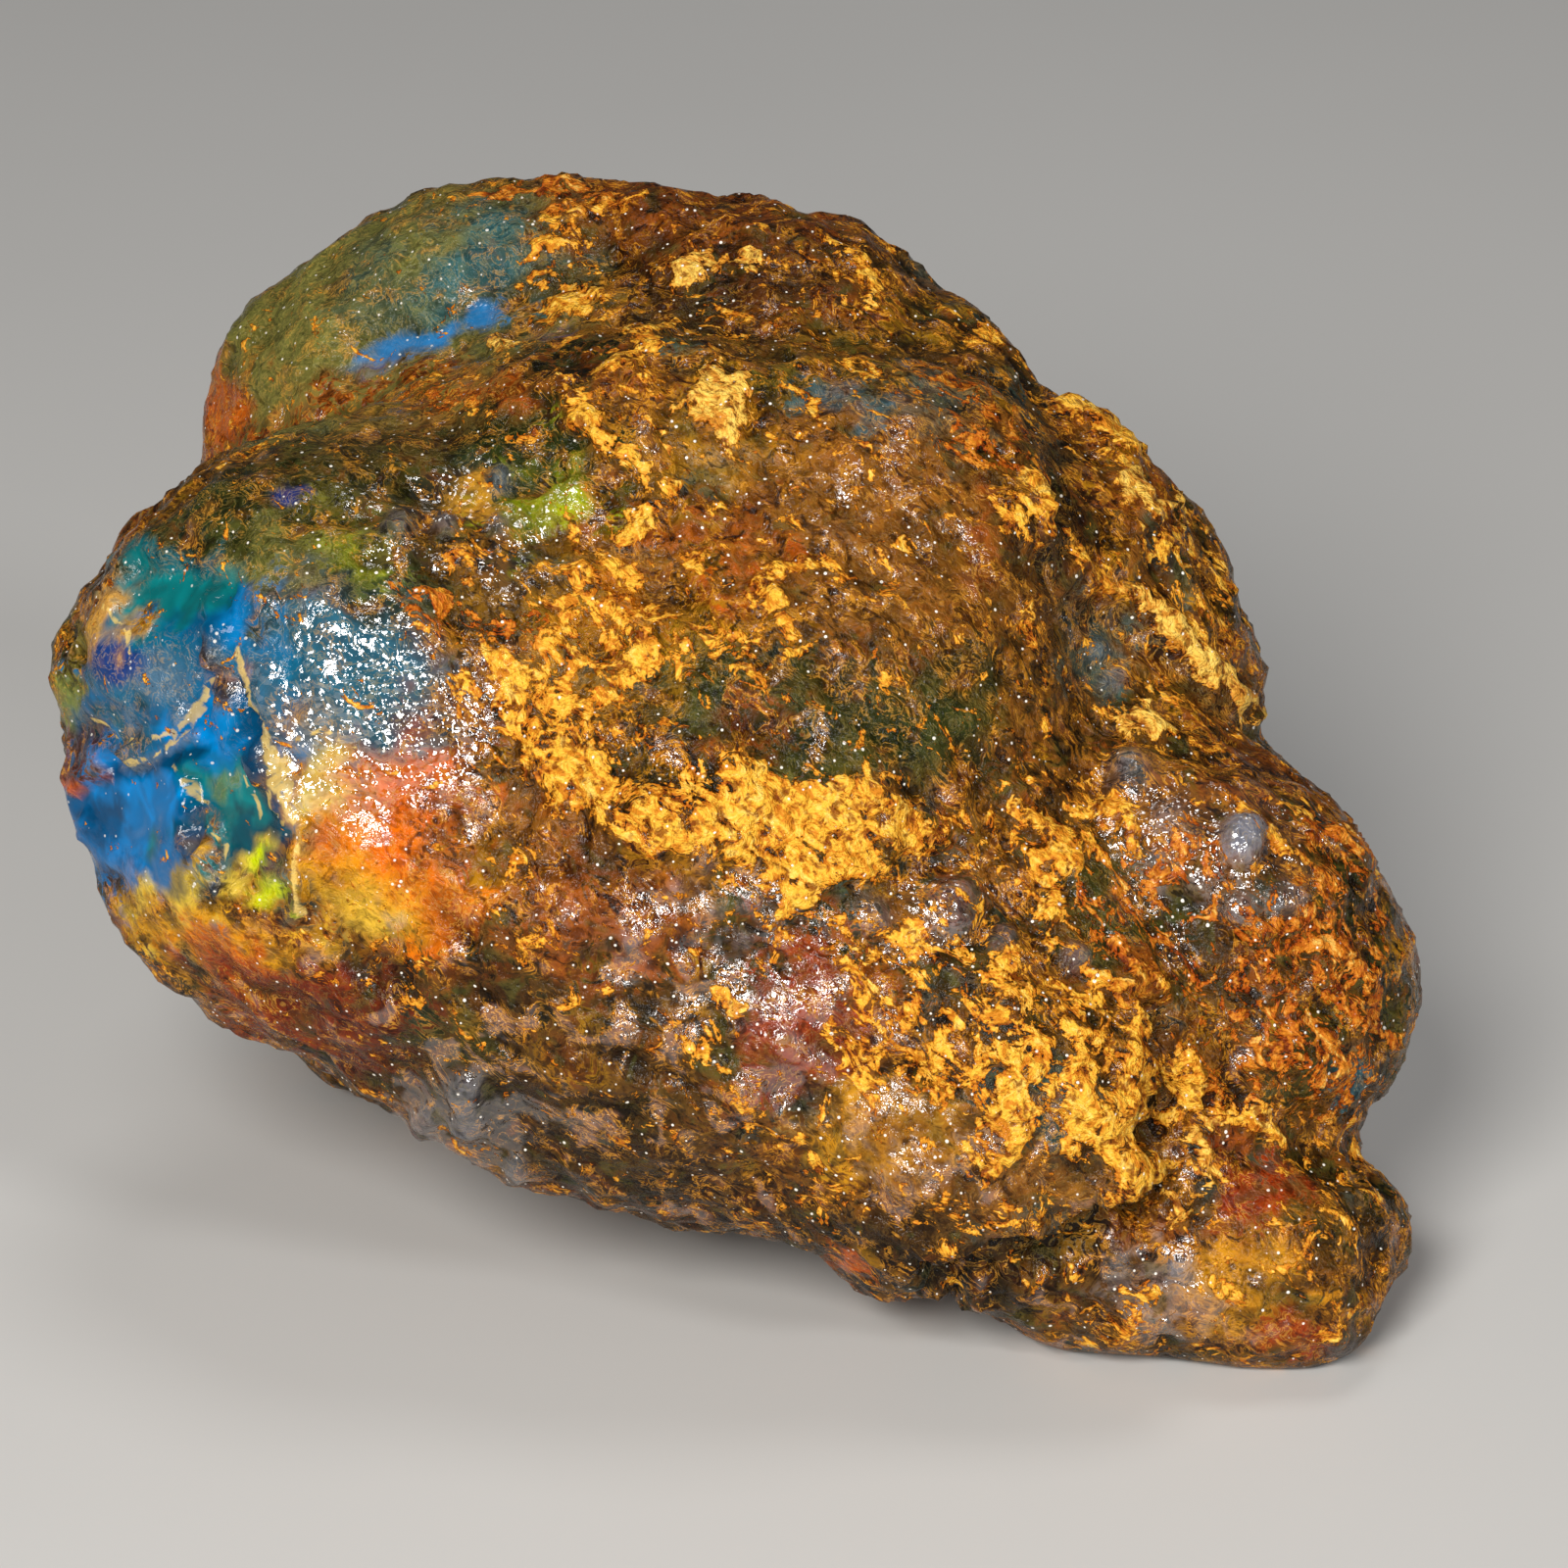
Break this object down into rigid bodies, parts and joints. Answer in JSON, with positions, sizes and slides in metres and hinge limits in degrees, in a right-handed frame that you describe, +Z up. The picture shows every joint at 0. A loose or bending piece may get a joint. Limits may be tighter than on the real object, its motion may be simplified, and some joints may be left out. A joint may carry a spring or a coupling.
{
  "type": "rough amber specimen",
  "caption": "Rough lump of fossil resin with a lobed, furrowed, crusted skin and a clear broken end, standing on a small flat spot.",
  "frame": {"origin": "on the resting plane, below the centre of the lump's box", "axes": "+Z up from the resting plane; +X along the lump, from its clear broken end towards its foot; the show side faces -Y"},
  "size_m": [0.0794, 0.064, 0.0548],
  "materials": {
    "amber": "wet gloss with a rough ochre crust in patches; see-through where the skin is broken"
  },
  "bodies": {
    "root": {"amber": "amber"}
  },
  "joints": []
}
